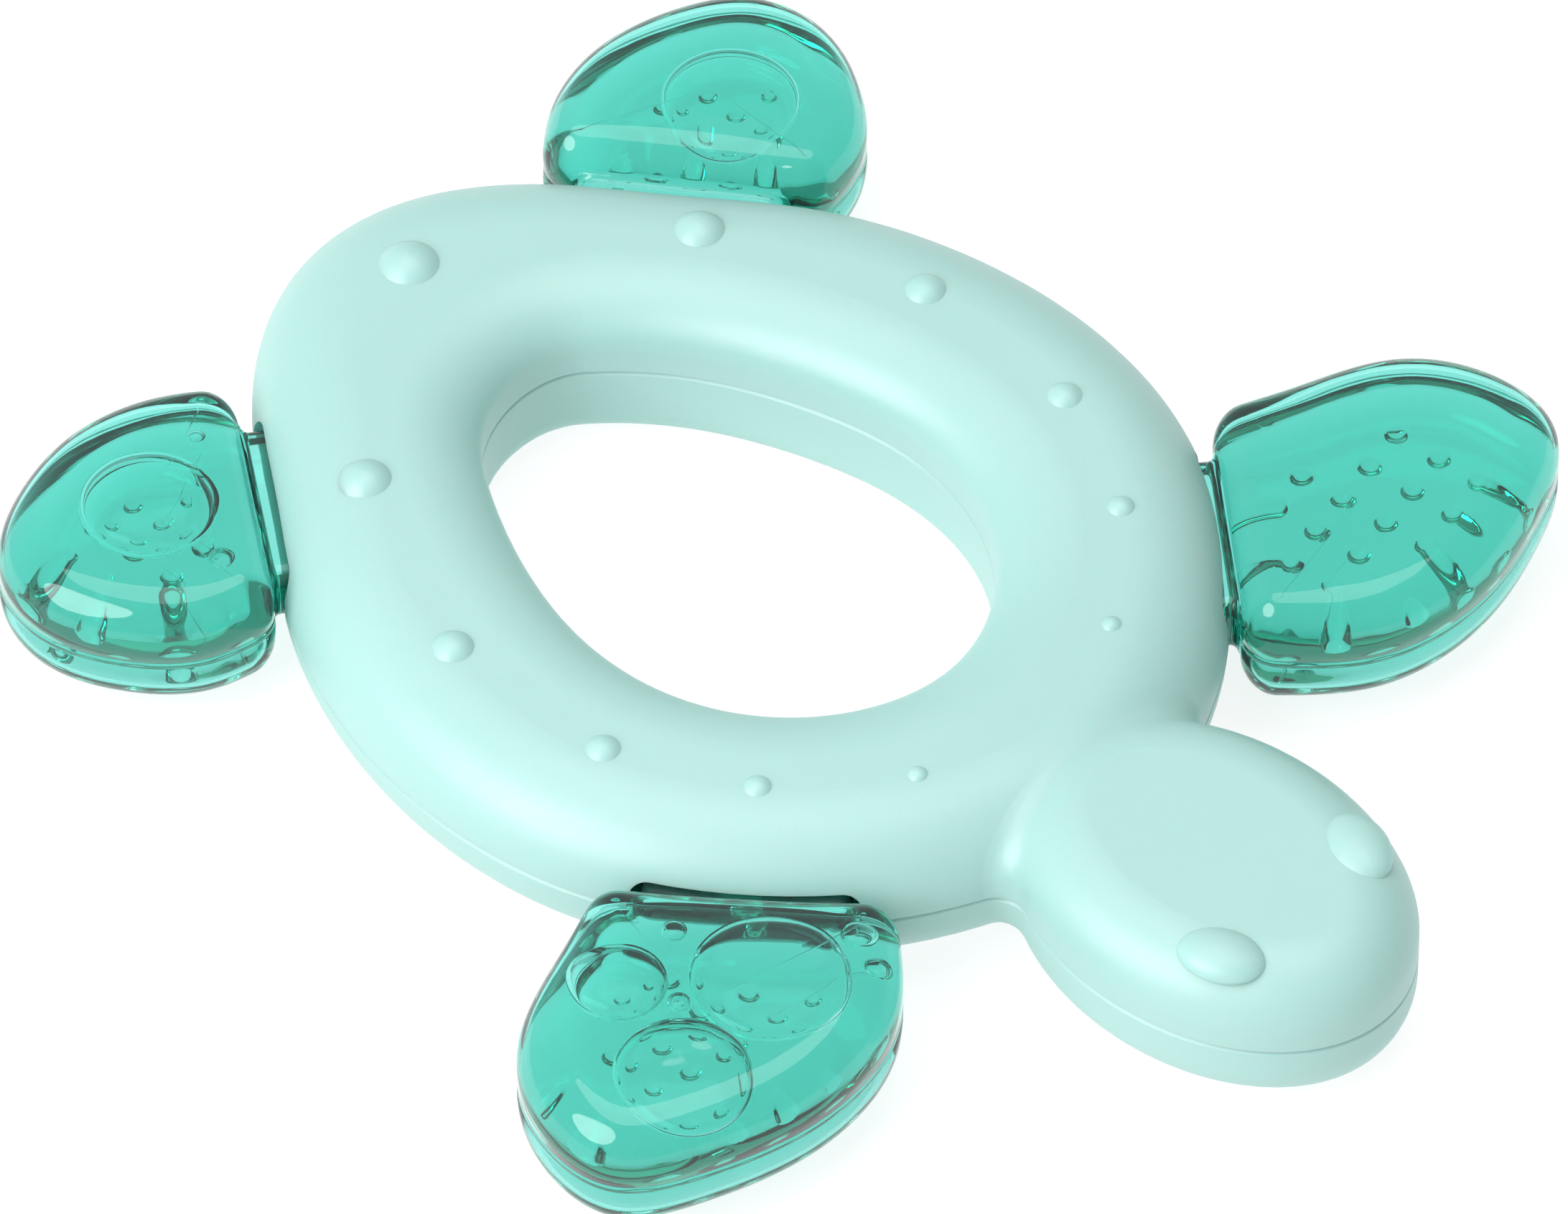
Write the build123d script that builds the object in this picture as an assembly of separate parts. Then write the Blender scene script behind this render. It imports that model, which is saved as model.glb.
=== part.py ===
from build123d import *
import math
import os

# Turtle-shaped teething ring. +X points at the head, +Z up. It rests on Z = 0, centred on X = Y = 0.
# A hollow two-piece hard shell is the ring, the hand hole and the head. Four soft water-filled legs stand
# out of slots in its rim, each held by a tab on an upright post, so each can rock a little.
# Lengths are in millimetres.

# Shell heights and walls
LOWER_HEIGHT = 8.6
UPPER_HEIGHT = 8.0
WALL = 2.0
PARTING = LOWER_HEIGHT
LINE_GROOVE = 0.25
ROOT_OVERLAP = 0.3

# Roundness of the upper shell: elliptical edges, this wide and this tall round the ring and the hand hole.
# The head's edge has the ring's proportion.
EDGE_WIDTH = 9.5
EDGE_RISE = 7.7
FLATTEN = EDGE_RISE / EDGE_WIDTH
HEAD_EDGE_UPPER = 6.8
HOLE_EDGE_WIDTH = 8.0
HOLE_EDGE_RISE = 5.0
HOLE_FLATTEN = HOLE_EDGE_RISE / HOLE_EDGE_WIDTH
CAVITY_EDGE_UPPER = 7.1
CAVITY_HOLE_EDGE_UPPER = 4.5

# Roundness of the lower shell's edges
RING_EDGE_LOWER = 8.0
HEAD_EDGE_LOWER = 6.3
HOLE_EDGE_LOWER = 2.8
VALLEY_RADIUS = 3.0
CAVITY_EDGE_LOWER = 5.5
CAVITY_HOLE_EDGE_LOWER = 1.0

# Plan outlines, one half each; the other half is the mirror image in Y
RING_HALF = [
    (-67.8, 0.0), (-65.2, 10.2), (-58.2, 19.2), (-47.9, 27.2), (-37.2, 35.0), (-24.6, 40.4),
    (-10.5, 42.4), (3.5, 40.3), (18.4, 31.9), (29.0, 20.0), (34.0, 9.0), (35.6, 0.0),
]
HOLE_HALF = [
    (-43.0, 0.0), (-40.5, 6.8), (-33.6, 12.9), (-22.5, 18.2), (-10.5, 20.5), (0.5, 18.2), (9.5, 10.6),
    (13.0, 0.0),
]
HEAD_CENTRE = 46.8
HEAD_LENGTH_RADIUS = 21.0
HEAD_WIDTH_RADIUS = 15.5

HOLE_SHRINK = 0.5
PLATE_SIZE = 160.0

# Where some edges are looked for: X low, X high and Y limit of a box in plan
HOLE_BOX = (-60.0, 24.0, 32.0)
VALLEY_BOX = (25.0, 36.0)
TINY = 1e-3

# Raised nubs on the shell's back: X, Y, diameter. Those off the centre line come in mirrored pairs.
NUBS = [
    (-56.5, 0.0, 5.7), (-40.1, 22.0, 4.7), (-19.6, 31.2, 3.9), (-1.0, 30.5, 3.3), (12.3, 24.0, 2.6),
    (21.7, 12.8, 1.9),
]
NUB_RISE = 0.22
NUB_ROOT = 0.3
EYE_X = 56.1
EYE_Y = 9.0
EYE_SIZE = (8.4, 6.0, 3.2)
EYE_SINK = 0.75
EYE_TURN = -24.0

# Legs: root centre X, Y and the direction the leg points in, for the two on the +Y side
FRONT_LEG = {"root": (18.6, 32.2), "angle": 50.0}
REAR_LEG = {"root": (-48.2, 27.6), "angle": 125.8}
LEG_HALF_THICKNESS = 6.5
LEG_EDGE = 4.4
LEG_CORNER = 3.8
LEG_CORNER_LEAST = 1.0
LEG_WALL = 1.8
FRONT_LEG_OUTLINE = [
    (-0.3, 13.6), (8.0, 16.7), (17.5, 19.2), (26.0, 16.8), (31.7, 9.5), (29.3, 1.0), (22.0, -9.2),
    (12.0, -14.7), (-0.3, -13.8),
]
REAR_LEG_OUTLINE = [
    (0.5, 13.2), (8.0, 13.8), (15.8, 11.2), (22.3, 4.6), (25.2, -3.5), (22.8, -10.1), (16.0, -14.9),
    (8.0, -16.3), (0.5, -13.4),
]
WATER_GAP = 0.05

# Tab, post and slot that hold each leg
TAB_WIDTH = 19.4
TAB_HALF_THICKNESS = 3.0
TAB_INNER_END = -12.5
TAB_OUTER_END = 6.0
TAB_CORNER = 3.0
TAB_ROUND = 1.6
NECK_FLARE = 1.0
POST_SET_BACK = 8.0
POST_RADIUS = 2.5
POST_HOLE_RADIUS = 2.55
POST_SHOULDER_RADIUS = 3.6
SOCKET_DEPTH = 1.6
SOCKET_END_PLAY = 0.2
TAB_PLAY = 0.3
SLOT_WIDTH = 21.5
SLOT_HALF_HEIGHT = 3.4
SLOT_CORNER = 2.0
SLOT_DEPTH = 6.0
SLOT_REACH = 4.0

# Filling hole and its plug, beside the post
FILL_OFFSET = 5.8
FILL_RADIUS = 1.2
FILL_LENGTH = 18.0
PLUG_LENGTH = 4.0

# Staggered rows of small nubs under each leg
GRIP_PITCH = 6.35
GRIP_ROW_PITCH = 3.48
GRIP_TURN = 4.2
GRIP_DIAMETER = 2.2
GRIP_RISE = 0.6
GRIP_MARGIN = 4.5
GRIP_CENTRE = 12.1
GRIP_ROWS = 6

# Air bubbles in each leg's water: X and Y in the leg's frame, radius, thickness
BUBBLES = {
    "front_left": [],
    "front_right": [(9.5, 3.0, 7.2, 3.0), (21.2, -4.0, 5.4, 2.5), (10.9, -10.5, 4.5, 3.2)],
    "rear_left": [(11.1, -3.2, 6.6, 3.2)],
    "rear_right": [(10.6, -0.5, 6.4, 4.2)],
}
BUBBLE_ROUNDNESS = 0.42
BUBBLE_FILM = 0.25

# Locating pins that line the two shells up at the tail, the sides and in the head
PIN_PLACES = [(-55.4, 0.0), (-10.5, 31.5), (-10.5, -31.5), (24.4, 0.0), (48.0, 0.0)]
PIN_RADIUS = 1.8
PIN_HOLE_RADIUS = 1.85
PIN_BOSS_RADIUS = 3.2
PIN_LENGTH = 3.0
PIN_HOLE_DEPTH = 3.2
PIN_ROOT = 1.0

os.makedirs("parts", exist_ok=True)


def inset_points(curve, points, amount):
    """The points of a clockwise curve moved towards its inside."""
    moved = []
    for point in points:
        along = curve.tangent_at(curve.param_at_point(point))
        moved.append((point[0] + amount * along.Y, point[1] - amount * along.X))
    return moved


def closed_outline(half, inset=0.0):
    """Smooth closed face through a half outline and its mirror image, made smaller by inset."""
    points = half + [(x, -y) for x, y in reversed(half) if y > 0]
    outline = Spline(*points, periodic=True)
    if inset:
        outline = Spline(*inset_points(outline, points[1:], inset), periodic=True)
    return make_face(outline)


def rounded_slab(face, height, radius):
    """The face raised to height, with its top edge rounded."""
    slab = extrude(face, height)
    return fillet(slab.faces().sort_by(Axis.Z)[-1].edges(), radius)


def edges_at(solid, height, inside):
    """Edges that lie flat at a height and whose middle is within a box (X low, X high, Y limit)."""
    low, high, side = inside
    found = []
    for edge in solid.edges():
        ends = [edge @ 0, edge @ 0.5, edge @ 1]
        flat = all(abs(point.Z - height) < TINY for point in ends)
        within = all(low < point.X < high and abs(point.Y) < side for point in ends)
        if flat and within:
            found.append(edge)
    return found


def hole_plate(height, edge, inset):
    """A wide plate standing on Z = 0 with the hand hole through it, the hole's top edge rounded."""
    plate = Box(PLATE_SIZE, PLATE_SIZE, height, align=(Align.CENTER, Align.CENTER, Align.MIN))
    plate = plate - extrude(closed_outline(HOLE_HALF, inset), height)
    return fillet(edges_at(plate, height, HOLE_BOX), edge)


def shell_block(height, ring_edge, head_edge):
    """Solid half of the shell standing on Z = 0: ring, head and the valley between them, with no hand hole."""
    ring = rounded_slab(closed_outline(RING_HALF), height, ring_edge)
    head_face = Ellipse(HEAD_LENGTH_RADIUS, HEAD_WIDTH_RADIUS)
    head = rounded_slab(Pos(HEAD_CENTRE, 0) * head_face, height, head_edge)
    body = ring + head
    valley = [edge for edge in body.edges() if is_valley(edge, height)]
    return fillet(valley, VALLEY_RADIUS)


def grooved(block):
    """The block with its lowest edges cut back, so that the shells meet in a fine groove."""
    return chamfer(block.faces().sort_by(Axis.Z)[0].edges(), LINE_GROOVE)


def is_valley(edge, height):
    """True for the edges where the head meets the ring."""
    middle = edge @ 0.5
    low, high = VALLEY_BOX
    return low < middle.X < high and TINY < middle.Z < height - TINY


def cavity_block(height, ring_edge, hole_edge):
    """The space inside a half shell, standing on Z = 0, one wall in from its outside."""
    ring = rounded_slab(closed_outline(RING_HALF, WALL), height, ring_edge)
    head_face = Ellipse(HEAD_LENGTH_RADIUS - WALL, HEAD_WIDTH_RADIUS - WALL)
    head = rounded_slab(Pos(HEAD_CENTRE, 0) * head_face, height, ring_edge)
    body = ring + head - extrude(closed_outline(HOLE_HALF, -WALL), height)
    return fillet(edges_at(body, height, HOLE_BOX), hole_edge)


def upright(radius, length):
    """An upright rod standing on Z = 0."""
    return Cylinder(radius, length, align=(Align.CENTER, Align.CENTER, Align.MIN))


def pin_rod(radius, low, high):
    """A set of upright rods at the locating pins, between two heights above the parting plane."""
    rod = upright(radius, high - low)
    rods = Part()
    for x, y in PIN_PLACES:
        rods += Pos(x, y, PARTING + low) * rod
    return rods


def leg_frame(leg, side):
    """Frame of one leg at the parting plane: X out of the shell, Z up, origin at the middle of its root."""
    x, y = leg["root"]
    if side == "left":
        return Location((x, y, PARTING), (0, 0, leg["angle"]))
    return Location((x, -y, PARTING), (0, 0, -leg["angle"]))


def leg_frames():
    """Frames of all four legs."""
    return [leg_frame(leg, side) for leg in (FRONT_LEG, REAR_LEG) for side in ("left", "right")]


def tube(radius, low, high):
    """Upright rod on a leg's post line, between two heights above the parting plane."""
    return Pos(-POST_SET_BACK, 0, low) * upright(radius, high - low)


def slot_cutter():
    """The opening in the rim that a leg's tab passes through."""
    profile = RectangleRounded(SLOT_WIDTH, 2 * SLOT_HALF_HEIGHT, SLOT_CORNER)
    return extrude(Plane.YZ.offset(-SLOT_DEPTH) * profile, SLOT_DEPTH + SLOT_REACH)


def make_upper_shell():
    """Upper half of the shell, with its nubs, eyes, post sockets and pin sockets."""
    block = scale(shell_block(UPPER_HEIGHT / FLATTEN, EDGE_WIDTH, HEAD_EDGE_UPPER), by=(1, 1, FLATTEN))
    plate = hole_plate(UPPER_HEIGHT / HOLE_FLATTEN, HOLE_EDGE_WIDTH, HOLE_SHRINK)
    outside = grooved(block & scale(plate, by=(1, 1, HOLE_FLATTEN)))
    inside = cavity_block((UPPER_HEIGHT - WALL) / FLATTEN, CAVITY_EDGE_UPPER, CAVITY_HOLE_EDGE_UPPER)
    shell = Pos(0, 0, PARTING) * (outside - scale(inside, by=(1, 1, FLATTEN)))
    ceiling = UPPER_HEIGHT - WALL + ROOT_OVERLAP
    for frame in leg_frames():
        socket_low = TAB_HALF_THICKNESS + TAB_PLAY
        shell += frame * tube(POST_SHOULDER_RADIUS, socket_low, ceiling)
        shell -= frame * tube(POST_HOLE_RADIUS, socket_low, socket_low + SOCKET_DEPTH)
        shell -= frame * slot_cutter()
    shell += pin_rod(PIN_BOSS_RADIUS, 0.0, ceiling)
    shell -= pin_rod(PIN_HOLE_RADIUS, 0.0, PIN_HOLE_DEPTH)
    top = PARTING + UPPER_HEIGHT
    for x, y, diameter in NUBS:
        for side in ((1,) if y == 0 else (1, -1)):
            shell += Pos(x, side * y, top) * dome(diameter, diameter * NUB_RISE)
    for side in (1, -1):
        eye = scale(Sphere(0.5), by=EYE_SIZE)
        shell += Pos(EYE_X, side * EYE_Y, top - EYE_SINK) * Rot(0, 0, side * EYE_TURN) * eye
    return shell


def dome(diameter, rise):
    """A shallow round nub standing on Z = 0, with a short root below it."""
    ball = (diameter ** 2 / 4 + rise ** 2) / (2 * rise)
    column = Pos(0, 0, -NUB_ROOT) * upright(diameter, NUB_ROOT + 2 * rise)
    return column & (Pos(0, 0, rise - ball) * Sphere(ball))


def make_lower_shell():
    """Lower half of the shell, flat underneath, with the four leg posts and the locating pins."""
    block = shell_block(LOWER_HEIGHT, RING_EDGE_LOWER, HEAD_EDGE_LOWER)
    outside = grooved(block & hole_plate(LOWER_HEIGHT, HOLE_EDGE_LOWER, HOLE_SHRINK))
    inside = cavity_block(LOWER_HEIGHT - WALL, CAVITY_EDGE_LOWER, CAVITY_HOLE_EDGE_LOWER)
    shell = Pos(0, 0, PARTING) * mirror(outside - inside, Plane.XY)
    floor = WALL - LOWER_HEIGHT - ROOT_OVERLAP
    post_top = TAB_HALF_THICKNESS + TAB_PLAY + SOCKET_DEPTH - SOCKET_END_PLAY
    for frame in leg_frames():
        shell += frame * tube(POST_SHOULDER_RADIUS, floor, -TAB_HALF_THICKNESS - TAB_PLAY)
        shell -= frame * slot_cutter()
        shell += frame * tube(POST_RADIUS, floor, post_top)
    shell += pin_rod(PIN_BOSS_RADIUS, floor, 0.0)
    shell += pin_rod(PIN_RADIUS, -PIN_ROOT, PIN_LENGTH)
    return shell


def leg_face(outline, inset=0.0):
    """Plan of a leg: a smooth lobe with a straight root and rounded root corners, made smaller by inset."""
    points = outline
    root = outline[0][0] + inset
    if inset:
        points = inset_points(Spline(*points), points, inset)
        points[0] = (root, points[0][1])
        points[-1] = (root, points[-1][1])
    face = make_face(Curve() + [Spline(*points), Line(points[-1], points[0])])
    corners = [vertex for vertex in face.vertices() if vertex.X < root + TINY]
    return fillet(corners, max(LEG_CORNER - inset, LEG_CORNER_LEAST))


def pillow(face, half_thickness, edge):
    """A flat body about Z = 0 with all its rims rounded."""
    slab = extrude(face, half_thickness, both=True)
    rims = slab.faces().sort_by(Axis.Z)
    return fillet(rims[-1].edges() + rims[0].edges(), edge)


def along_leg(radius, start, length, across):
    """A rod that runs out along the leg from start, beside its middle line."""
    return Pos(start, across, 0) * Rot(0, 90, 0) * upright(radius, length)


def make_tab():
    """The flat tongue on the leg's root that goes in through the shell's slot."""
    profile = RectangleRounded(TAB_WIDTH, 2 * TAB_HALF_THICKNESS, TAB_ROUND)
    tab = extrude(Plane.YZ.offset(TAB_INNER_END) * profile, TAB_OUTER_END - TAB_INNER_END)
    plan = extrude(Plane.XY.offset(-TAB_HALF_THICKNESS) * tab_plan(), 2 * TAB_HALF_THICKNESS)
    return tab & plan


def tab_plan():
    """Plan of the tongue, its inner corners rounded."""
    length = TAB_OUTER_END - TAB_INNER_END + TAB_CORNER
    return Pos(TAB_INNER_END + length / 2, 0) * RectangleRounded(length, TAB_WIDTH, TAB_CORNER)


def is_neck(edge, root):
    """True for the edges where the tongue meets the leg's root."""
    for point in [edge @ 0, edge @ 0.5, edge @ 1]:
        at_root = root - TINY < point.X < root + LEG_EDGE
        if not at_root or abs(point.Y) > TAB_WIDTH / 2 + TINY or abs(point.Z) > TAB_HALF_THICKNESS + TINY:
            return False
    return True


def leg_body(outline):
    """Solid leg with its tongue, the inner corner between them flared."""
    body = pillow(leg_face(outline), LEG_HALF_THICKNESS, LEG_EDGE) + make_tab()
    neck = [edge for edge in body.edges() if is_neck(edge, outline[0][0])]
    return fillet(neck, NECK_FLARE)


def make_skins(outline):
    """Upper and lower skins of a left leg in its own frame, with the tab, post hole and filling hole."""
    body = leg_body(outline)
    room = pillow(leg_face(outline, LEG_WALL), LEG_HALF_THICKNESS - LEG_WALL, LEG_EDGE - LEG_WALL)
    channel = along_leg(FILL_RADIUS, TAB_INNER_END, FILL_LENGTH, FILL_OFFSET)
    skin = body - room - channel - tube(POST_HOLE_RADIUS, -TAB_HALF_THICKNESS, TAB_HALF_THICKNESS)
    upper = split(skin, Plane.XY, keep=Keep.TOP)
    lower = split(skin, Plane.XY, keep=Keep.BOTTOM)
    nub = mirror(dome(GRIP_DIAMETER, GRIP_RISE), Plane.XY)
    for x, y in grip_points(outline):
        lower += Pos(x, y, -LEG_HALF_THICKNESS) * nub
    return upper, lower


def make_water(outline):
    """The water inside a left leg, before its bubbles."""
    inset = LEG_WALL + WATER_GAP
    return pillow(leg_face(outline, inset), LEG_HALF_THICKNESS - inset, LEG_EDGE - inset)


def bubble(x, y, radius, thickness):
    """A flat round air bubble that floats under the top of the water."""
    disc = Cylinder(radius, thickness, align=(Align.CENTER, Align.CENTER, Align.MAX))
    disc = fillet(disc.edges().filter_by(GeomType.CIRCLE), thickness * BUBBLE_ROUNDNESS)
    return Pos(x, y, LEG_HALF_THICKNESS - LEG_WALL - BUBBLE_FILM) * disc


def grip_points(outline):
    """Places of the small nubs under a leg: turned staggered rows kept inside the leg's outline."""
    face = leg_face(outline, GRIP_MARGIN)
    turn = math.radians(GRIP_TURN)
    steps = range(-GRIP_ROWS, GRIP_ROWS + 1)
    places = []
    for row in steps:
        for column in steps:
            along = GRIP_PITCH * (column + (row % 2) / 2)
            across = GRIP_ROW_PITCH * row
            x = GRIP_CENTRE + along * math.cos(turn) - across * math.sin(turn)
            y = along * math.sin(turn) + across * math.cos(turn)
            if face.faces()[0].is_inside(Vector(x, y, 0)):
                places.append((x, y))
    return places


def main():
    export_step(make_upper_shell(), "parts/upper_shell.step")
    export_step(make_lower_shell(), "parts/lower_shell.step")
    pairs = (("front", FRONT_LEG, FRONT_LEG_OUTLINE), ("rear", REAR_LEG, REAR_LEG_OUTLINE))
    for end, leg, outline in pairs:
        upper, lower = make_skins(outline)
        water = make_water(outline)
        plug = along_leg(FILL_RADIUS, TAB_INNER_END, PLUG_LENGTH, FILL_OFFSET)
        for side in ("left", "right"):
            name = end + "_" + side
            frame = leg_frame(leg, side)
            pieces = {"upper_skin": upper, "lower_skin": lower, "water": water, "plug": plug}
            for piece, solid in pieces.items():
                placed = solid if side == "left" else mirror(solid, Plane.XZ)
                if piece == "water":
                    for place in BUBBLES[name]:
                        placed -= bubble(*place)
                export_step(frame * placed, "parts/" + name + "_leg_" + piece + ".step")


main()
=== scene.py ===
import math

import bmesh
import bpy
import numpy as np
from mathutils import Matrix, Vector


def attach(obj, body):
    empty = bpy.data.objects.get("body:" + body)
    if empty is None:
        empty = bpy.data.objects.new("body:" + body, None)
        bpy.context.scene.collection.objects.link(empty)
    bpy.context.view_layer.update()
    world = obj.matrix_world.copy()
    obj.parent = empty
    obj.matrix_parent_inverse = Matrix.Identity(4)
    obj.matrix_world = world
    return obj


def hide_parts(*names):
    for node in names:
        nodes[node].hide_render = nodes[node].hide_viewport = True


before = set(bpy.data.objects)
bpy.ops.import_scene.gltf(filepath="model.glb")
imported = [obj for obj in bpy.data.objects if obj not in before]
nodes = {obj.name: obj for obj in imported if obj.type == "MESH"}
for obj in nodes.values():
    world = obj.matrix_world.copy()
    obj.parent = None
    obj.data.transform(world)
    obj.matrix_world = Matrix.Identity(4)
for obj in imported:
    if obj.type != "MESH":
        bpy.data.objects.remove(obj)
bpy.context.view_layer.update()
MM = 0.001

# ---------------------------------------------------------------- materials

# The span that most of a noise texture's values fall in
NOISE_LOW = 0.3
NOISE_HIGH = 0.7


def new_material(name):
    mat = bpy.data.materials.new(name)
    mat.use_nodes = True
    tree = mat.node_tree
    shader = tree.nodes["Principled BSDF"]
    return mat, tree, shader


def noise(tree, scale, detail):
    """A noise texture in the object's own coordinates."""
    coords = tree.nodes.new("ShaderNodeTexCoord")
    node = tree.nodes.new("ShaderNodeTexNoise")
    node.inputs["Scale"].default_value = scale
    node.inputs["Detail"].default_value = detail
    node.inputs["Roughness"].default_value = 0.5
    tree.links.new(coords.outputs["Object"], node.inputs["Vector"])
    return node


def spread(tree, source, low, high):
    """Maps a noise output to a range of values."""
    node = tree.nodes.new("ShaderNodeMapRange")
    node.inputs["From Min"].default_value = NOISE_LOW
    node.inputs["From Max"].default_value = NOISE_HIGH
    node.inputs["To Min"].default_value = low
    node.inputs["To Max"].default_value = high
    tree.links.new(source, node.inputs["Value"])
    return node.outputs["Result"]


def tint(tree, source, low, high):
    """A colour between two, by a noise output."""
    ramp = tree.nodes.new("ShaderNodeValToRGB")
    ramp.color_ramp.elements[0].position = NOISE_LOW
    ramp.color_ramp.elements[1].position = NOISE_HIGH
    ramp.color_ramp.elements[0].color = (*low, 1.0)
    ramp.color_ramp.elements[1].color = (*high, 1.0)
    tree.links.new(source, ramp.inputs["Fac"])
    return ramp.outputs["Color"]


def bump(tree, source, strength, distance, normal=None):
    """A bump of a noise output, on top of another bump if one is given."""
    node = tree.nodes.new("ShaderNodeBump")
    node.inputs["Strength"].default_value = strength
    node.inputs["Distance"].default_value = distance
    tree.links.new(source, node.inputs["Height"])
    if normal is not None:
        tree.links.new(normal, node.inputs["Normal"])
    return node.outputs["Normal"]


def hard_plastic():
    """Smooth moulded mint plastic: slow flow marks, a fine texture and a soft shine."""
    mat, tree, shader = new_material("hard_plastic")
    flow = noise(tree, 22.0, 3.0)
    grain = noise(tree, 2600.0, 2.0)
    colour = tint(tree, flow.outputs["Fac"], (0.335, 0.565, 0.53), (0.355, 0.585, 0.55))
    tree.links.new(colour, shader.inputs["Base Color"])
    tree.links.new(spread(tree, flow.outputs["Fac"], 0.40, 0.46), shader.inputs["Roughness"])
    low = bump(tree, flow.outputs["Fac"], 0.08, 0.0006)
    fine = bump(tree, grain.outputs["Fac"], 0.05, 0.00003, low)
    tree.links.new(fine, shader.inputs["Normal"])
    shader.inputs["IOR"].default_value = 1.5
    shader.inputs["Specular IOR Level"].default_value = 0.8
    shader.inputs["Subsurface Weight"].default_value = 0.5
    shader.inputs["Subsurface Radius"].default_value = (0.3, 1.0, 0.9)
    shader.inputs["Subsurface Scale"].default_value = 0.0025
    return mat


def clear_skin():
    """Soft clear mint plastic, which darkens to teal where light goes a long way through it."""
    mat, tree, shader = new_material("clear_skin")
    wave = noise(tree, 160.0, 2.0)
    tree.links.new(bump(tree, wave.outputs["Fac"], 0.12, 0.0004), shader.inputs["Normal"])
    shader.inputs["Base Color"].default_value = (0.62, 0.98, 0.95, 1.0)
    shader.inputs["Roughness"].default_value = 0.02
    shader.inputs["IOR"].default_value = 1.49
    shader.inputs["Transmission Weight"].default_value = 0.97
    out = tree.nodes["Material Output"]
    inside = tree.nodes.new("ShaderNodeVolumeAbsorption")
    inside.inputs["Color"].default_value = (0.0, 0.87, 0.79, 1.0)
    inside.inputs["Density"].default_value = 135.0
    tree.links.new(inside.outputs["Volume"], out.inputs["Volume"])
    return mat


def water_face():
    """Where the skin meets the water: its IOR is the water's over the skin's. Its grey tint is
    painted shade: it darkens what is seen through the leg, in place of the floor's shadow under
    the legs.
    """
    mat, tree, shader = new_material("water_face")
    wave = noise(tree, 120.0, 1.0)
    tree.links.new(bump(tree, wave.outputs["Fac"], 0.25, 0.0004), shader.inputs["Normal"])
    # The grey base colour dims light each time it crosses this face. This is painted shade, in
    # place of the floor's shadow under the legs.
    shader.inputs["Base Color"].default_value = (0.82, 0.87, 0.86, 1.0)
    shader.inputs["Roughness"].default_value = 0.0
    shader.inputs["IOR"].default_value = 0.893
    shader.inputs["Transmission Weight"].default_value = 1.0
    return mat


def air_face():
    """The face of a bubble: its IOR is the air's over the water's."""
    mat, tree, shader = new_material("air_face")
    wave = noise(tree, 200.0, 1.0)
    tree.links.new(bump(tree, wave.outputs["Fac"], 0.05, 0.0003), shader.inputs["Normal"])
    shader.inputs["Base Color"].default_value = (1.0, 1.0, 1.0, 1.0)
    shader.inputs["Roughness"].default_value = 0.0
    shader.inputs["IOR"].default_value = 0.75
    shader.inputs["Transmission Weight"].default_value = 1.0
    return mat


def soft_plug():
    """The soft teal plug that closes a leg's filling hole."""
    mat, tree, shader = new_material("soft_plug")
    grain = noise(tree, 900.0, 3.0)
    colour = tint(tree, grain.outputs["Fac"], (0.10, 0.42, 0.36), (0.14, 0.48, 0.42))
    tree.links.new(colour, shader.inputs["Base Color"])
    tree.links.new(spread(tree, grain.outputs["Fac"], 0.45, 0.6), shader.inputs["Roughness"])
    tree.links.new(bump(tree, grain.outputs["Fac"], 0.2, 0.00005), shader.inputs["Normal"])
    return mat


def pale_floor():
    """A plain pale floor, bright enough to hide most of the shadow."""
    mat, tree, shader = new_material("pale_floor")
    grain = noise(tree, 3.0, 2.0)
    colour = tint(tree, grain.outputs["Fac"], (0.29, 0.29, 0.29), (0.31, 0.31, 0.31))
    tree.links.new(colour, shader.inputs["Base Color"])
    shader.inputs["Roughness"].default_value = 0.9
    shader.inputs["Specular IOR Level"].default_value = 0.0
    shader.inputs["Emission Color"].default_value = (1.0, 1.0, 1.0, 1.0)
    shader.inputs["Emission Strength"].default_value = 0.8
    return mat


HARD = hard_plastic()
SKIN = clear_skin()
WATER = water_face()
AIR = air_face()
PLUG = soft_plug()

# ---------------------------------------------------------------- the legs' shapes

# Left legs, in their own frames in millimetres: x out of the shell, y to the left, z up from the
# parting line. The right legs are their mirror images.
LEGS = {
    "front": {
        "root": (18.6, 32.2),
        "angle": 50.0,
        "outline": [
            (-0.3, 13.6), (8.0, 16.7), (17.5, 19.2), (26.0, 16.8), (31.7, 9.5), (29.3, 1.0),
            (22.0, -9.2), (12.0, -14.7), (-0.3, -13.8),
        ],
    },
    "rear": {
        "root": (-48.2, 27.6),
        "angle": 125.8,
        "outline": [
            (0.65, 13.2), (8.0, 13.8), (15.8, 11.2), (22.3, 4.6), (25.2, -3.5), (22.8, -10.1),
            (16.0, -14.9), (8.0, -16.3), (0.65, -13.4),
        ],
    },
}
PARTING = 8.6  # height of the parting line
HALF = 6.5  # half of a leg's thickness
EDGE = 4.4  # radius of a leg's rims
CORNER = 3.8  # radius of the root's corners, in plan
WALL = 1.8
CORNER_EASE = 0.3  # how much narrower the rims are at the root's corners
CORNER_REACH = 6.0
CROWN = 0.25  # how far the middle of the top face rises

# Two seam lines round each leg, above and below the parting line
SEAM = 0.38
SEAM_DEPTH = 0.12
SEAM_HALF_WIDTH = 0.16
SEAM_FLOOR_HALF_WIDTH = 0.06
SEAM_FLOOR_DEPTH = SEAM_DEPTH * 0.8

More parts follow.
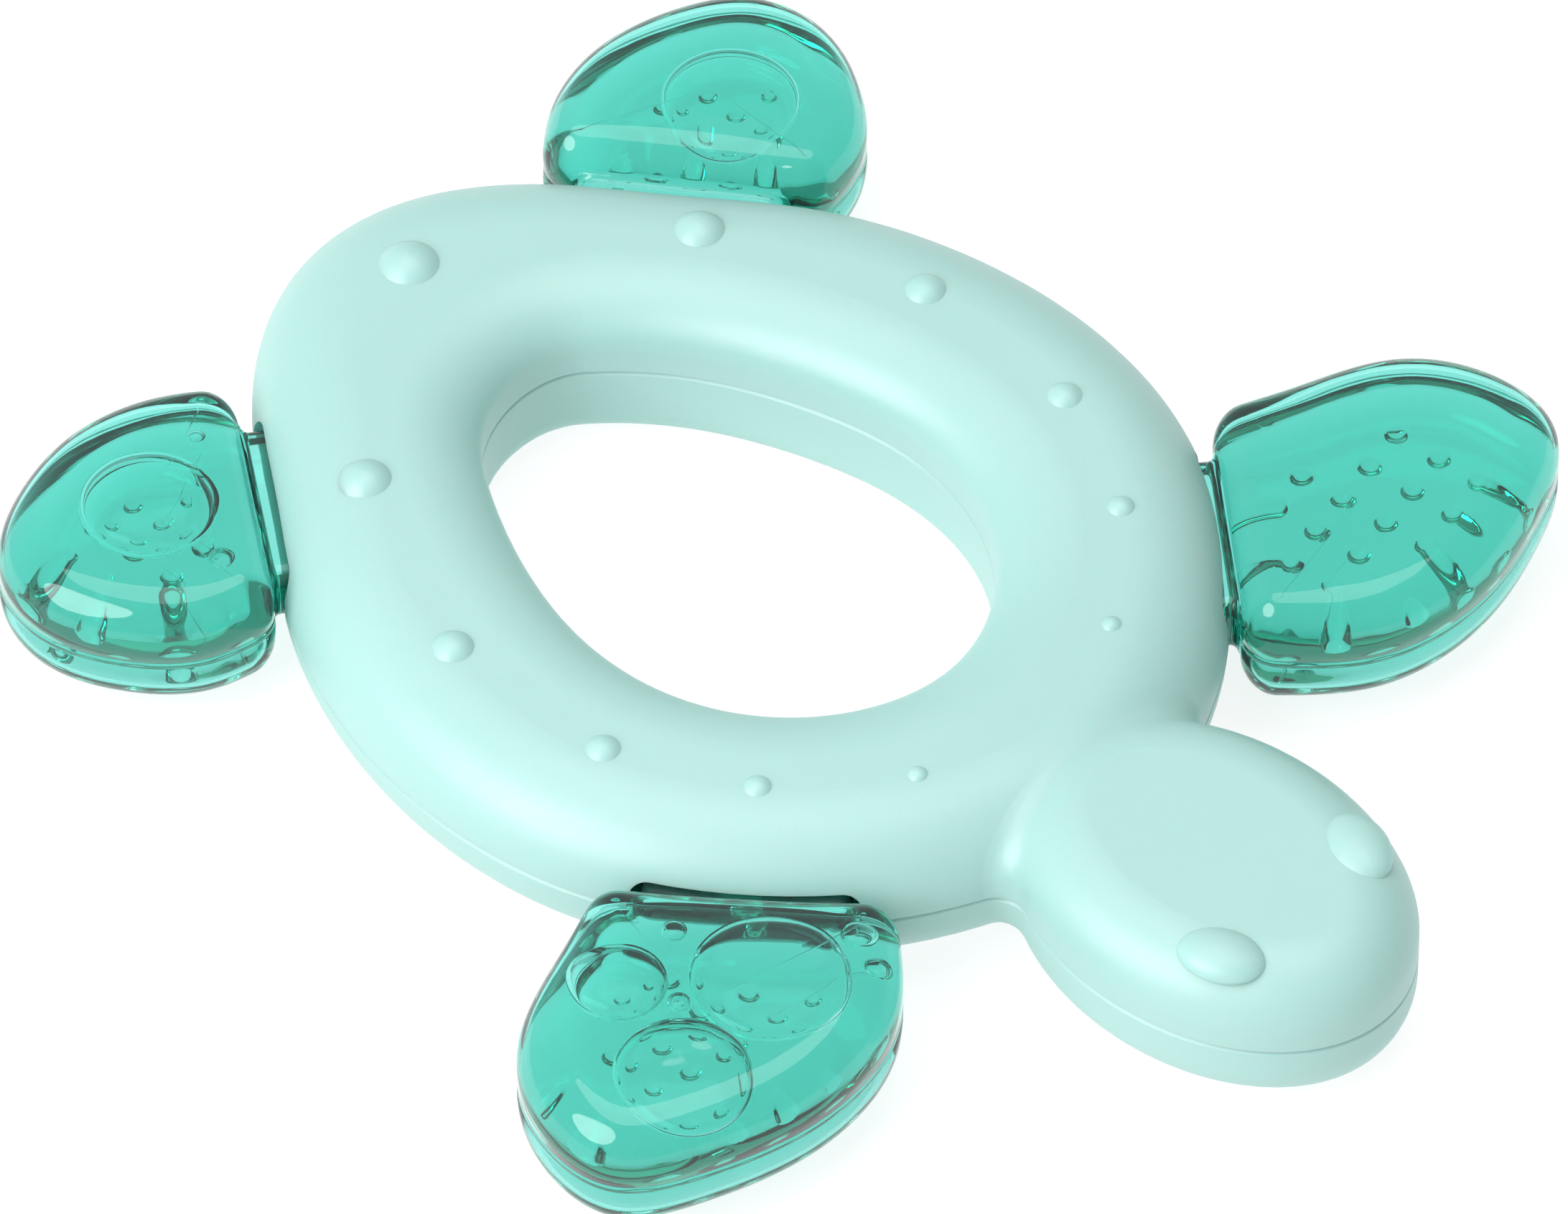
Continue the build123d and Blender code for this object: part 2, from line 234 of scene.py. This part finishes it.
# How finely the shapes are drawn
AROUND = 360
SPLINE_STEPS = 60
CORNER_STEP = 0.01
CORNER_ARC_POINTS = 24
RIM_RINGS = 13
SKIN_TOP_RINGS = 26
SKIN_BOTTOM_RINGS = 96
WATER_RINGS = 26
FIRST_RING = 0.35
HOLE_POINTS = {"post": 48, "fill": 32}
BUBBLE_POINTS = 64
BUBBLE_RINGS = 26
SHARP_DEGREES = 50

TAB_END = -12.5
TAB_HALF_WIDTH = 9.7
TAB_HALF_HEIGHT = 3.0
TAB_CORNER = 3.0
TAB_ROUND = 1.6
TAB_ROUND_POINTS = 8
NECK_FLARE = 0.8
NECK_FLARE_HEIGHT = 0.45
NECK_FLARE_RUN = 0.62
TAB_INTO_LEG = (0.25, 0.5, 1.6)

POST_HOLE_X = -8.0
POST_HOLE_RADIUS = 2.55
POST_HOLE_HALF = 5.0
FILL_HOLE_START = -14.0
FILL_HOLE_END = -8.45
FILL_HOLE_Y = 5.8
FILL_HOLE_RADIUS = 1.21

# Small nubs under each leg, in staggered rows
GRIP_PITCH = 6.35
GRIP_ROW_PITCH = 3.48
GRIP_TURN = 4.2
GRIP_RADIUS = 1.1
GRIP_RISE = 0.6
GRIP_MARGIN = 4.5
GRIP_CENTRE = 12.1
GRIP_ROWS = 6

# Bubbles in millimetres, in each leg's frame as on the left side: x, y, radius, thickness
BUBBLES = {
    "front_left": [],
    "front_right": [
        (9.4, -3.0, 7.4, 3.0), (21.2, 4.0, 6.3, 2.5), (10.9, 10.5, 4.5, 3.2), (4.9, 6.0, 1.2, 1.6),
        (13.4, 4.9, 1.1, 1.4), (4.0, -10.5, 1.5, 1.9), (7.8, -12.3, 1.1, 1.4),
    ],
    "rear_left": [(11.1, -3.2, 6.6, 3.2)],
    "rear_right": [(10.6, 0.5, 6.4, 4.2), (5.1, 7.3, 0.8, 0.8), (5.1, -8.1, 1.2, 1.2)],
}
BUBBLE_FILM = 0.25  # water left between a bubble and the skin above it
BUBBLE_SIDE_POWER = 0.75
BUBBLE_TOP_POWER = 0.8


def through(points):
    """A smooth line through points, sampled finely: a natural cubic spline by chord length."""
    p = np.array(points, float)
    t = np.concatenate([[0.0], np.cumsum(np.linalg.norm(np.diff(p, axis=0), axis=1))])
    n = len(p)
    h = np.diff(t)
    a = np.zeros((n, n))
    b = np.zeros((n, 2))
    a[0, 0] = a[-1, -1] = 1.0
    for i in range(1, n - 1):
        a[i, i - 1 : i + 2] = (h[i - 1], 2.0 * (h[i - 1] + h[i]), h[i])
        b[i] = 6.0 * ((p[i + 1] - p[i]) / h[i] - (p[i] - p[i - 1]) / h[i - 1])
    m = np.linalg.solve(a, b)
    out = []
    for i in range(n - 1):
        s = np.linspace(t[i], t[i + 1], SPLINE_STEPS, endpoint=False)[:, None]
        left, right = t[i + 1] - s, s - t[i]
        out.append(
            (m[i] * left**3 + m[i + 1] * right**3) / (6.0 * h[i])
            + (p[i] / h[i] - m[i] * h[i] / 6.0) * left
            + (p[i + 1] / h[i] - m[i + 1] * h[i] / 6.0) * right
        )
    return np.vstack([*out, p[-1:]])


def root_corner(line, root, sign):
    """The arc that rounds the corner between the flat root and one end of the outline."""
    centre = None
    for y in np.arange(0.0, 25.0, CORNER_STEP) * sign:
        gap = np.min(np.hypot(line[:, 0] - root - CORNER, line[:, 1] - y))
        if gap <= CORNER:
            centre = np.array([root + CORNER, y])
            break
    near = int(np.argmin(np.hypot(*(line - centre).T)))
    touch = line[near]
    end = math.atan2(touch[1] - centre[1], touch[0] - centre[0]) % (2 * math.pi)
    turn = np.linspace(math.pi, end, CORNER_ARC_POINTS)
    arc = centre + CORNER * np.column_stack([np.cos(turn), np.sin(turn)])
    return near, arc


def resample(loop, count):
    """A closed loop as count evenly spaced points."""
    closed = np.vstack([loop, loop[:1]])
    t = np.concatenate([[0.0], np.cumsum(np.linalg.norm(np.diff(closed, axis=0), axis=1))])
    s = np.linspace(0.0, t[-1], count, endpoint=False)
    return np.column_stack([np.interp(s, t, closed[:, 0]), np.interp(s, t, closed[:, 1])])


def leg_loop(outline):
    """A leg's outline as a closed clockwise loop, its root flat and its root corners rounded."""
    line = through(outline)
    half = len(line) // 2
    upper, upper_arc = root_corner(line[:half], outline[0][0], 1)
    lower, lower_arc = root_corner(line[half:], outline[0][0], -1)
    body = line[upper + 1 : half + lower]
    return resample(np.vstack([upper_arc, body, lower_arc[::-1]]), AROUND)


def inset(loop, amount, ease=None):
    """The loop moved inwards; ease makes the step smaller at some places."""
    along = np.roll(loop, -1, 0) - np.roll(loop, 1, 0)
    along /= np.linalg.norm(along, axis=1)[:, None]
    step = amount * (np.ones(len(loop)) if ease is None else ease)
    return loop + step[:, None] * np.column_stack([along[:, 1], -along[:, 0]])


def corner_ease(loop):
    """How much of the rim's width is used at each place: less at the root's tight corners."""
    ease = np.ones(len(loop))
    for sign in (1.0, -1.0):
        far = loop @ np.array([-1.0, sign])
        tip = loop[int(np.argmax(far))]
        away = np.linalg.norm(loop - tip, axis=1)
        ease -= CORNER_EASE * np.exp(-((away / CORNER_REACH) ** 2))
    return ease


def rim(half, edge, seam):
    """How a leg's side runs from its top rim to its bottom rim: inset and height."""
    turns = np.radians(np.linspace(90.0, 0.0, RIM_RINGS))
    top = [(edge * (1 - math.cos(a)), half - edge + edge * math.sin(a)) for a in turns]
    middle = []
    if seam:
        for z in (SEAM, -SEAM):
            middle += [
                (0.0, z + SEAM_HALF_WIDTH),
                (SEAM_FLOOR_DEPTH, z + SEAM_FLOOR_HALF_WIDTH),
                (SEAM_DEPTH, z),
                (SEAM_FLOOR_DEPTH, z - SEAM_FLOOR_HALF_WIDTH),
                (0.0, z - SEAM_HALF_WIDTH),
            ]
    return top + middle + [(d, -z) for d, z in reversed(top)]


def grips(xy, loop):
    """How far the small nubs under a leg stand out at each place."""
    out = np.zeros(len(xy))
    keep = inset(loop, GRIP_MARGIN)
    turn = math.radians(GRIP_TURN)
    ball = (GRIP_RADIUS**2 + GRIP_RISE**2) / (2 * GRIP_RISE)
    for row in range(-GRIP_ROWS, GRIP_ROWS + 1):
        for column in range(-GRIP_ROWS, GRIP_ROWS + 1):
            along = GRIP_PITCH * (column + (row % 2) / 2)
            across = GRIP_ROW_PITCH * row
            x = GRIP_CENTRE + along * math.cos(turn) - across * math.sin(turn)
            y = along * math.sin(turn) + across * math.cos(turn)
            if not inside(keep, x, y):
                continue
            far = np.hypot(xy[:, 0] - x, xy[:, 1] - y)
            near = far < GRIP_RADIUS
            out[near] = np.sqrt(ball**2 - far[near] ** 2) - (ball - GRIP_RISE)
    return out


def inside(loop, x, y):
    """True if the point is inside the loop."""
    x0, y0 = loop.T
    x1, y1 = np.roll(loop, -1, 0).T
    crosses = (y0 > y) != (y1 > y)
    with np.errstate(divide="ignore", invalid="ignore"):
        at = x0 + (y - y0) * (x1 - x0) / (y1 - y0)
    return bool(np.sum(crosses & (x < at)) % 2)


def pillow(loop, half, edge, top_rings, bottom_rings, seam=False, nubs=False):
    """A closed leg body: vertices and faces, in the leg's frame in millimetres."""
    middle = loop.mean(0)
    ease = corner_ease(loop)
    inner = inset(loop, edge, ease)
    rings = []
    for i in range(top_rings):
        s = (i + FIRST_RING) / top_rings
        xy = middle + s * (inner - middle)
        rings.append(np.column_stack([xy, half + CROWN * (1 - np.full(AROUND, s) ** 2) ** 2]))
    for d, z in rim(half, edge, seam):
        rings.append(np.column_stack([inset(loop, d, ease), np.full(AROUND, z)]))
    for i in reversed(range(bottom_rings)):
        s = (i + FIRST_RING) / bottom_rings
        xy = middle + s * (inner - middle)
        z = np.full(AROUND, -half)
        if nubs:
            z = z - grips(xy, loop)
        rings.append(np.column_stack([xy, z]))
    count = len(rings)
    points = np.vstack(rings)
    points = np.vstack([points, [[*middle, half + CROWN]], [[*middle, -half]]])
    if nubs:
        points[-1, 2] -= grips(points[-1:, :2], loop)[0]
    faces = []
    for r in range(count - 1):
        for i in range(AROUND):
            j = (i + 1) % AROUND
            here, below = r * AROUND, (r + 1) * AROUND
            faces.append((here + i, here + j, below + j, below + i))
    first, last = count * AROUND, count * AROUND + 1
    base = (count - 1) * AROUND
    for i in range(AROUND):
        j = (i + 1) % AROUND
        faces.append((first, j, i))
        faces.append((last, base + i, base + j))
    return points, faces


def lens(x, y, radius, thickness):
    """A flat round bubble whose rim bulges: vertices and faces."""
    top = HALF - WALL - BUBBLE_FILM
    around, down = BUBBLE_POINTS, BUBBLE_RINGS
    angles = np.linspace(0.0, 2 * math.pi, around, endpoint=False)
    rings = []
    for i in range(1, down):
        a = math.pi * i / down
        wide = radius * abs(math.sin(a)) ** BUBBLE_SIDE_POWER
        height = math.copysign(abs(math.cos(a)) ** BUBBLE_TOP_POWER, math.cos(a)) * thickness / 2
        z = np.full(around, top - thickness / 2 + height)
        rings.append(np.column_stack([x + wide * np.cos(angles), y + wide * np.sin(angles), z]))
    points = np.vstack([*rings, [[x, y, top]], [[x, y, top - thickness]]])
    faces = []
    for r in range(len(rings) - 1):
        for i in range(around):
            j = (i + 1) % around
            here, below = r * around, (r + 1) * around
            faces.append((here + i, below + i, below + j, here + j))
    first, last = len(rings) * around, len(rings) * around + 1
    base = (len(rings) - 1) * around
    for i in range(around):
        j = (i + 1) % around
        faces.append((first, i, j))
        faces.append((last, base + j, base + i))
    return points, faces


def place_leg_piece(piece, leg, side):
    """Moves a piece from its left leg's frame, in millimetres, to its place, in metres."""
    a = math.radians(leg["angle"])
    x0, y0 = leg["root"]
    put = Matrix.Translation((x0, y0, PARTING)) @ Matrix.Rotation(a, 4, "Z")
    if side == "right":
        put = Matrix.Scale(-1.0, 4, (0.0, 1.0, 0.0)) @ put
    piece.data.transform(Matrix.Scale(MM, 4) @ put)
    outward(piece)


def add_mesh(name, points, faces, material, smooth=True):
    """A new mesh object with one material."""
    mesh = bpy.data.meshes.new(name)
    mesh.from_pydata([tuple(p) for p in points], [], faces)
    mesh.validate()
    piece = bpy.data.objects.new(name, mesh)
    bpy.context.scene.collection.objects.link(piece)
    if smooth:
        mesh.shade_smooth()
    mesh.materials.append(material)
    return piece


def outward(piece):
    """Turns every face of a closed mesh outwards."""
    bm = bmesh.new()
    bm.from_mesh(piece.data)
    bmesh.ops.recalc_face_normals(bm, faces=bm.faces)
    bm.to_mesh(piece.data)
    bm.free()
    piece.data.update()


def combine(piece, other, operation):
    """Boolean of two closed meshes, kept in piece; other is removed."""
    mod = piece.modifiers.new("cut", "BOOLEAN")
    mod.operation = operation
    mod.solver = "EXACT"
    mod.object = other
    bpy.context.view_layer.update()
    evaluated = piece.evaluated_get(bpy.context.evaluated_depsgraph_get())
    result = bpy.data.meshes.new_from_object(evaluated)
    piece.modifiers.clear()
    piece.data = result
    bpy.data.objects.remove(other)


def tube(rings):
    """Rings joined into a solid with a flat face at each end: vertices and faces."""
    n, last = len(rings[0]), len(rings) - 1
    faces = [tuple(range(n))[::-1], tuple(range(last * n, (last + 1) * n))]
    for r in range(last):
        for i in range(n):
            j = (i + 1) % n
            faces.append((r * n + i, r * n + j, (r + 1) * n + j, (r + 1) * n + i))
    return np.vstack(rings), faces


def upright_rod(loop, low, high):
    """A straight rod between two heights: vertices and faces."""
    return tube([np.column_stack([loop, np.full(len(loop), z)]) for z in (low, high)])


def level_rod(loop, start, end):
    """A straight rod along the leg: vertices and faces."""
    return tube([np.column_stack([np.full(len(loop), x), loop]) for x in (start, end)])


def flare(x, start):
    """Growth of the neck at x where it opens out into the leg, by an arc of radius NECK_FLARE."""
    run = min(max(x - start, 0.0), NECK_FLARE)
    return NECK_FLARE - math.sqrt(NECK_FLARE**2 - run**2)


def round_box(width, height, corner):
    """A rounded rectangle about the origin as a closed loop; width and height are halves."""
    loop = []
    for k, (sx, sy) in enumerate([(1, 1), (-1, 1), (-1, -1), (1, -1)]):
        for a in np.radians(np.linspace(90 * k, 90 * k + 90, TAB_ROUND_POINTS)):
            x = sx * (width - corner) + corner * math.cos(a)
            y = sy * (height - corner) + corner * math.sin(a)
            loop.append((x, y))
    return np.array(loop)


def tab(root):
    """The tongue on the leg's root that goes in through the shell's slot: vertices and faces."""
    turns = np.radians(np.linspace(0, 90, 9))
    stations = [TAB_END + TAB_CORNER * (1 - math.cos(a)) for a in turns]
    stations += list(np.linspace(TAB_END + TAB_CORNER + 1.0, root - 1.2, 6))
    stations += list(np.linspace(root - 1.0, root, 14))
    stations += [root + step for step in TAB_INTO_LEG]
    rings = []
    for x in stations:
        run = min(max(TAB_END + TAB_CORNER - x, 0.0), TAB_CORNER)
        end_round = math.sqrt(TAB_CORNER**2 - run**2)
        width = TAB_HALF_WIDTH - TAB_CORNER + end_round + flare(x, root - NECK_FLARE)
        height = TAB_HALF_HEIGHT + min(flare(x, root - NECK_FLARE_RUN), NECK_FLARE_HEIGHT)
        loop = round_box(width, height, TAB_ROUND)
        rings.append(np.column_stack([np.full(len(loop), x), loop]))
    return tube(rings)


def round_loop(x, y, radius, count):
    """A circle as a closed loop."""
    a = np.linspace(0.0, 2 * math.pi, count, endpoint=False)
    return np.column_stack([x + radius * np.cos(a), y + radius * np.sin(a)])


def build_leg(end, side):
    """One leg: a clear skin with its tongue, a water face inside it, and the bubbles."""
    leg = LEGS[end]
    body = end + "_" + side + "_leg"
    loop = leg_loop(leg["outline"])

    def made(name, shape, material):
        piece = add_mesh(name, *shape, material)
        outward(piece)
        return piece

    pad = pillow(loop, HALF, EDGE, SKIN_TOP_RINGS, SKIN_BOTTOM_RINGS, seam=True, nubs=True)
    skin = made(body + "_skin", pad, SKIN)
    tongue = made("tongue", tab(leg["outline"][0][0]), SKIN)
    post = round_loop(POST_HOLE_X, 0.0, POST_HOLE_RADIUS, HOLE_POINTS["post"])
    post_hole = made("post_hole", upright_rod(post, -POST_HOLE_HALF, POST_HOLE_HALF), SKIN)
    combine(tongue, post_hole, "DIFFERENCE")
    fill = round_loop(FILL_HOLE_Y, 0.0, FILL_HOLE_RADIUS, HOLE_POINTS["fill"])
    fill_hole = made("fill_hole", level_rod(fill, FILL_HOLE_START, FILL_HOLE_END), SKIN)
    combine(tongue, fill_hole, "DIFFERENCE")
    combine(skin, tongue, "UNION")
    place_leg_piece(skin, leg, side)
    skin.data.shade_smooth()
    skin.data.set_sharp_from_angle(angle=math.radians(SHARP_DEGREES))
    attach(skin, body)
    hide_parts(body + "_upper_skin", body + "_lower_skin")

    filling = pillow(inset(loop, WALL), HALF - WALL, EDGE - WALL, WATER_RINGS, WATER_RINGS)
    water = made(body + "_water_face", filling, WATER)
    place_leg_piece(water, leg, side)
    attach(water, body)
    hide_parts(body + "_water")

    for number, (x, y, radius, thickness) in enumerate(BUBBLES[end + "_" + side], 1):
        bubble = made(body + "_bubble_" + str(number), lens(x, y, radius, thickness), AIR)
        place_leg_piece(bubble, leg, side)
        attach(bubble, body)


for end_name in ("front", "rear"):
    for side_name in ("left", "right"):
        build_leg(end_name, side_name)

# ---------------------------------------------------------------- finishes of the CAD nodes

for name, node in nodes.items():
    material = HARD if name.endswith("_shell") else PLUG if name.endswith("_plug") else None
    if material is not None:
        for place in node.material_slots:
            place.material = material

# ---------------------------------------------------------------- floor, light and camera

FLOOR_HALF = 3.0
FLOOR_HEIGHT = -0.0002
WORLD_STRENGTH = 0.55


def add_floor():
    """The floor, just under the resting face."""
    corners = [(-1, -1), (1, -1), (1, 1), (-1, 1)]
    points = [(x * FLOOR_HALF, y * FLOOR_HALF, FLOOR_HEIGHT) for x, y in corners]
    floor = add_mesh("floor", points, [(0, 1, 2, 3)], pale_floor(), smooth=False)


AZIMUTH = math.radians(44.177)
ELEVATION = math.radians(48.0)
RIGHT = Vector((math.cos(AZIMUTH), math.sin(AZIMUTH), 0.0))
BACK = Vector(
    (
        math.sin(AZIMUTH) * math.cos(ELEVATION),
        -math.cos(AZIMUTH) * math.cos(ELEVATION),
        math.sin(ELEVATION),
    )
)
UP = BACK.cross(RIGHT)

# Where the camera stands, in millimetres: to its right, down and back from ROW_SHIFT
ROW_SHIFT = Vector((-19.6, 0.0, 16.9))
CAMERA_RIGHT = 8.5605
CAMERA_DOWN = 13.2420
CAMERA_BACK = 1560.0
CAMERA_LENS = 387.6
CAMERA_SENSOR = 36.0


def add_camera():
    """The camera: a long lens a metre and a half away, looking down at the ring."""
    data = bpy.data.cameras.new("camera")
    data.sensor_width = CAMERA_SENSOR
    data.lens = CAMERA_LENS
    data.clip_start = 0.05
    data.clip_end = 50.0
    camera = bpy.data.objects.new("camera", data)
    bpy.context.scene.collection.objects.link(camera)
    stand = CAMERA_RIGHT * RIGHT - CAMERA_DOWN * UP + CAMERA_BACK * BACK
    place = (stand + ROW_SHIFT) * MM
    turn = Matrix((RIGHT, UP, BACK)).transposed().to_4x4()
    camera.matrix_world = Matrix.Translation(place) @ turn
    bpy.context.scene.camera = camera


def add_area(name, direction, distance, size, power):
    """A round area light in a direction from the ring, facing it."""
    data = bpy.data.lights.new(name, "AREA")
    data.shape = "DISK"
    data.size = size
    data.energy = power
    light = bpy.data.objects.new(name, data)
    bpy.context.scene.collection.objects.link(light)
    direction = direction.normalized()
    turn = direction.to_track_quat("Z", "Y").to_matrix().to_4x4()
    light.matrix_world = Matrix.Translation(direction * distance) @ turn


add_floor()
add_camera()
LEVEL_BACK = Vector((BACK.x, BACK.y, 0.0)).normalized()
OVERHEAD = Vector((0, 0, 1))
key_direction = OVERHEAD + LEVEL_BACK * 0.7 - RIGHT * 1.0
add_area("key", key_direction, distance=1.0, size=0.8, power=10.0)
softbox_direction = OVERHEAD - LEVEL_BACK * 0.2
add_area("softbox", softbox_direction, distance=1.2, size=1.0, power=5.6)

world = bpy.data.worlds.new("studio")
world.use_nodes = True
world.node_tree.nodes["Background"].inputs["Color"].default_value = (1.0, 1.0, 1.0, 1.0)
world.node_tree.nodes["Background"].inputs["Strength"].default_value = WORLD_STRENGTH
bpy.context.scene.world = world
bpy.context.scene.view_settings.view_transform = "Standard"
